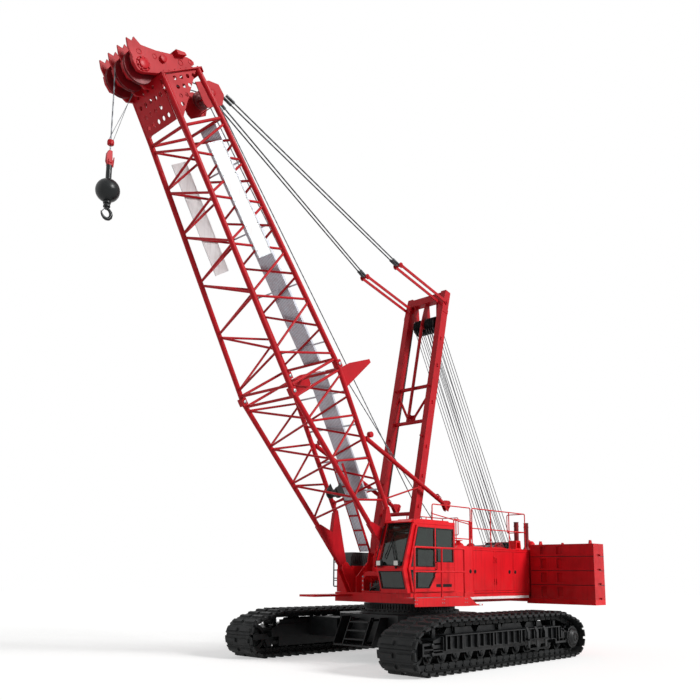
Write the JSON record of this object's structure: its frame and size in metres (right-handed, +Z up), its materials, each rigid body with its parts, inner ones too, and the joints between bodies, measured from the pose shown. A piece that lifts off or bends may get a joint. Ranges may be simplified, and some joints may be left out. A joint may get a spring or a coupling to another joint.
{
  "type": "crawler crane",
  "caption": "Lattice-boom crawler crane with slewing house, luffing boom held by a live mast and pendants, sliding cab door, engine doors, winches and hook.",
  "frame": {"origin": "on the ground under the slew axis, midway between the tracks", "axes": "+X forwards along the tracks and the boom, +Y to the left where the cab is, +Z up"},
  "size_m": [16.004, 7.62, 14.0147],
  "materials": {
    "frame_paint": "gloss",
    "boom_paint": "gloss",
    "track_steel": "matte",
    "undercarriage_paint": "satin",
    "plain_steel": "satin",
    "walkway_aluminium": "brushed",
    "board_white": "satin",
    "cab_glass": "clear",
    "seat_cloth": "matte",
    "rope_steel": "greased",
    "hook_black": "satin",
    "engine_grey": "satin",
    "dark_paint": "satin"
  },
  "bodies": {
    "undercarriage": {"carbody": "undercarriage_paint", "carbody_steps": "undercarriage_paint", "slew_ring": "plain_steel", "left_track_frame": "undercarriage_paint", "right_track_frame": "undercarriage_paint", "left_track": "track_steel", "right_track": "track_steel", "left_track_wheels": "track_steel", "right_track_wheels": "track_steel"},
    "house": {"rotating_bed": "frame_paint", "pivot_brackets": "frame_paint", "house_walls": "frame_paint", "deck_rails": "frame_paint", "cab_walkway": "frame_paint", "cab_shell": "frame_paint", "cab_glass": "cab_glass", "operator_seat": "seat_cloth", "cab_base": "frame_paint", "counterweight_tray": "frame_paint", "left_counterweights": "frame_paint", "right_counterweights": "frame_paint", "engine_block": "engine_grey", "hydraulic_tank": "engine_grey", "right_front_box": "frame_paint", "exhaust_pipes": "dark_paint", "winch_frames": "frame_paint"},
    "boom": {"boom_feet": "boom_paint", "butt_chords": "boom_paint", "butt_lacings": "boom_paint", "section_lugs": "boom_paint", "top_chords": "boom_paint", "top_lacings": "boom_paint", "head_plates": "boom_paint", "head_cheeks": "boom_paint", "boom_catwalk": "walkway_aluminium", "sign_boards": "board_white", "boom_stops": "boom_paint", "rope_guide": "boom_paint"},
    "head_sheaves": {"head_sheaves": "plain_steel"},
    "mast": {"mast_legs": "boom_paint", "mast_cross_members": "boom_paint", "mast_top_block": "boom_paint"},
    "mast_sheaves": {"mast_sheaves": "plain_steel"},
    "pendants": {"pendant_links": "boom_paint", "pendant_ropes": "rope_steel"},
    "hoist_line": {"hoist_line": "rope_steel", "trip_weight": "frame_paint"},
    "hook": {"overhaul_ball": "hook_black", "hook": "hook_black"},
    "cab_door": {"cab_door": "frame_paint", "cab_door_glass": "cab_glass"},
    "front_hoist_drum": {"front_hoist_drum": "plain_steel"},
    "rear_hoist_drum": {"rear_hoist_drum": "plain_steel"},
    "boom_hoist_drum": {"boom_hoist_drum": "plain_steel"},
    "left_engine_door_1": {"left_engine_door_1": "frame_paint"},
    "left_engine_door_2": {"left_engine_door_2": "frame_paint"},
    "left_engine_door_3": {"left_engine_door_3": "frame_paint"},
    "right_engine_door_1": {"right_engine_door_1": "frame_paint"},
    "right_engine_door_2": {"right_engine_door_2": "frame_paint"},
    "right_engine_door_3": {"right_engine_door_3": "frame_paint"}
  },
  "joints": [
    {"name": "slew", "type": "hinge", "parent": "undercarriage", "child": "house", "pos_m": [0, 0, 1.545], "axis": [0, 0, 1], "continuous": true},
    {"name": "boom_luff", "type": "hinge", "parent": "house", "child": "boom", "pos_m": [1.75, 0, 2.5], "axis": [0, -1, 0], "range_deg": [-42, 18]},
    {"name": "mast_luff", "type": "hinge", "parent": "house", "child": "mast", "pos_m": [0.76, 0, 2.93], "axis": [0, -1, 0], "range_deg": [-45.5, 19.8]},
    {"name": "pendant_swing", "type": "hinge", "parent": "mast", "child": "pendants", "pos_m": [-0.95417, 0, 10.59875], "axis": [0, -1, 0], "range_deg": [-3.6, 8.5]},
    {"name": "hoist_line_plumb", "type": "hinge", "parent": "boom", "child": "hoist_line", "pos_m": [9.75791, 0, 13.24906], "axis": [0, 1, 0], "range_deg": [-42, 18]},
    {"name": "hook_swivel", "type": "hinge", "parent": "hoist_line", "child": "hook", "pos_m": [10.09421, 0, 10.937], "axis": [0, 0, 1], "continuous": true},
    {"name": "head_sheaves_spin", "type": "hinge", "parent": "boom", "child": "head_sheaves", "pos_m": [9.75791, 0, 13.24906], "axis": [0, 1, 0], "continuous": true},
    {"name": "mast_sheaves_spin", "type": "hinge", "parent": "mast", "child": "mast_sheaves", "pos_m": [-0.97769, 0, 9.97049], "axis": [0, 1, 0], "continuous": true},
    {"name": "cab_door_slide", "type": "slide", "parent": "house", "child": "cab_door", "axis": [-1, 0, 0], "range_m": [0, 0.78]},
    {"name": "front_hoist_drum_spin", "type": "hinge", "parent": "house", "child": "front_hoist_drum", "pos_m": [-1, 0, 2.72], "axis": [0, 1, 0], "continuous": true},
    {"name": "rear_hoist_drum_spin", "type": "hinge", "parent": "house", "child": "rear_hoist_drum", "pos_m": [-2.15, 0, 2.72], "axis": [0, 1, 0], "continuous": true},
    {"name": "boom_hoist_drum_spin", "type": "hinge", "parent": "house", "child": "boom_hoist_drum", "pos_m": [-3.9, 0, 3.01], "axis": [0, 1, 0], "continuous": true},
    {"name": "left_engine_door_1_hinge", "type": "hinge", "parent": "house", "child": "left_engine_door_1", "pos_m": [-1.904, 1.665, 2.4], "axis": [0, 0, 1], "range_deg": [0, 90]},
    {"name": "left_engine_door_2_hinge", "type": "hinge", "parent": "house", "child": "left_engine_door_2", "pos_m": [-2.006, 1.665, 2.4], "axis": [0, 0, -1], "range_deg": [0, 90]},
    {"name": "left_engine_door_3_hinge", "type": "hinge", "parent": "house", "child": "left_engine_door_3", "pos_m": [-3.774, 1.665, 2.4], "axis": [0, 0, 1], "range_deg": [0, 90]},
    {"name": "right_engine_door_1_hinge", "type": "hinge", "parent": "house", "child": "right_engine_door_1", "pos_m": [-1.904, -1.665, 2.4], "axis": [0, 0, -1], "range_deg": [0, 90]},
    {"name": "right_engine_door_2_hinge", "type": "hinge", "parent": "house", "child": "right_engine_door_2", "pos_m": [-2.006, -1.665, 2.4], "axis": [0, 0, 1], "range_deg": [0, 90]},
    {"name": "right_engine_door_3_hinge", "type": "hinge", "parent": "house", "child": "right_engine_door_3", "pos_m": [-3.774, -1.665, 2.4], "axis": [0, 0, -1], "range_deg": [0, 90]}
  ],
  "couplings": [
    {"joint": "mast_luff", "follows": "boom_luff", "ratio": 1.075},
    {"joint": "pendant_swing", "follows": "boom_luff", "ratio": -0.188},
    {"joint": "hoist_line_plumb", "follows": "boom_luff", "ratio": 1}
  ]
}
